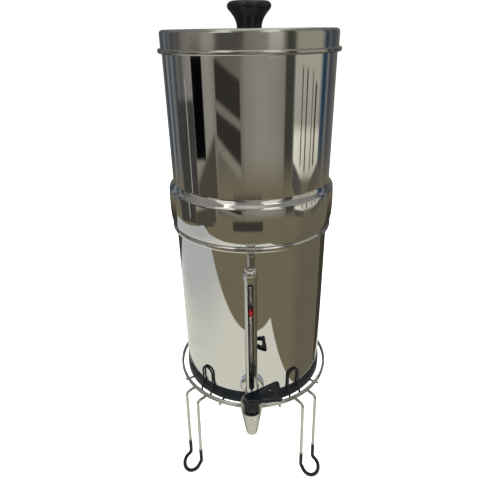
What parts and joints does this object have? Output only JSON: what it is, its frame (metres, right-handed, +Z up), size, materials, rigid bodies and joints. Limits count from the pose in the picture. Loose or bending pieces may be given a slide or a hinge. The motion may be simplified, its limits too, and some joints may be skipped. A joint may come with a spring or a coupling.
{
  "type": "gravity water filter with tap",
  "caption": "Two stacked polished steel chambers with a lid and knob, filter elements between them, a lever tap with a sight tube, and a wire stand with dipped feet.",
  "frame": {"origin": "on the axis of the chambers, on the floor under the stand's feet", "axes": "+Z up along the chambers' axis, the tap faces -Y, and the closed lever points to +X"},
  "size_m": [0.2415, 0.3046, 0.6788],
  "materials": {
    "polished_steel": "mirror-polished stainless sheet",
    "bright_wire": "bright plated wire",
    "black_vinyl": "satin dipped vinyl",
    "tap_chrome": "bright chrome plate",
    "black_rubber": "satin black rubber",
    "clear_silicone": "translucent milky silicone",
    "black_plastic": "satin moulded plastic",
    "screw_steel": "plated steel",
    "sight_glass": "clear tube",
    "red_plastic": "glossy moulded plastic",
    "carbon_block": "pressed carbon, fine-grained and dull",
    "white_plastic": "satin food-grade plastic"
  },
  "bodies": {
    "stand": {"foot_sleeve_back_left": "black_vinyl", "foot_sleeve_back_right": "black_vinyl", "foot_sleeve_front_left": "black_vinyl", "foot_sleeve_front_right": "black_vinyl", "stand_base_frame": "bright_wire", "stand_leg_back_left": "bright_wire", "stand_leg_back_right": "bright_wire", "stand_leg_front_left": "bright_wire", "stand_leg_front_right": "bright_wire", "stand_lower_ring": "bright_wire", "stand_prong_back_left": "bright_wire", "stand_prong_back_right": "bright_wire", "stand_prong_front_left": "bright_wire", "stand_prong_front_right": "bright_wire", "stand_upper_ring": "bright_wire"},
    "lower_vessel": {"lower_chamber": "polished_steel", "base_ring": "black_rubber", "tap_body": "tap_chrome", "tap_outer_washer": "clear_silicone", "tap_inner_washer": "black_rubber", "tap_nut": "screw_steel", "sight_guard": "tap_chrome", "sight_glass": "sight_glass", "sight_lower_seal": "black_rubber", "sight_upper_seal": "black_rubber", "sight_cap": "tap_chrome"},
    "upper_vessel": {"upper_chamber": "polished_steel", "blanking_plug_back": "white_plastic", "blanking_plug_front": "white_plastic", "element_cap_left": "white_plastic", "element_cap_right": "white_plastic", "element_washer_left": "black_rubber", "element_washer_right": "black_rubber", "filter_element_left": "carbon_block", "filter_element_right": "carbon_block", "plug_washer_back": "black_rubber", "plug_washer_front": "black_rubber", "wing_nut_back": "white_plastic", "wing_nut_front": "white_plastic", "wing_nut_left": "white_plastic", "wing_nut_right": "white_plastic"},
    "lid": {"lid": "polished_steel", "lid_knob": "black_plastic", "knob_screw": "screw_steel"},
    "lever": {"lever": "black_plastic", "valve_plug": "white_plastic", "valve_seal": "black_rubber"},
    "float": {"level_float": "red_plastic"}
  },
  "joints": [
    {"name": "vessel_lift", "type": "slide", "parent": "stand", "child": "lower_vessel", "axis": [0, 0, 1], "range_m": [0, 0.08]},
    {"name": "chamber_lift", "type": "slide", "parent": "lower_vessel", "child": "upper_vessel", "axis": [0, 0, 1], "range_m": [0, 0.06]},
    {"name": "lid_lift", "type": "slide", "parent": "upper_vessel", "child": "lid", "axis": [0, 0, 1], "range_m": [0, 0.06]},
    {"name": "lever_turn", "type": "hinge", "parent": "lower_vessel", "child": "lever", "pos_m": [0, -0.165, 0.1921], "axis": [0, 0, -1], "range_deg": [0, 106]},
    {"name": "float_level", "type": "slide", "parent": "lower_vessel", "child": "float", "axis": [0, 0, 1], "range_m": [-0.126, 0.0435]}
  ]
}
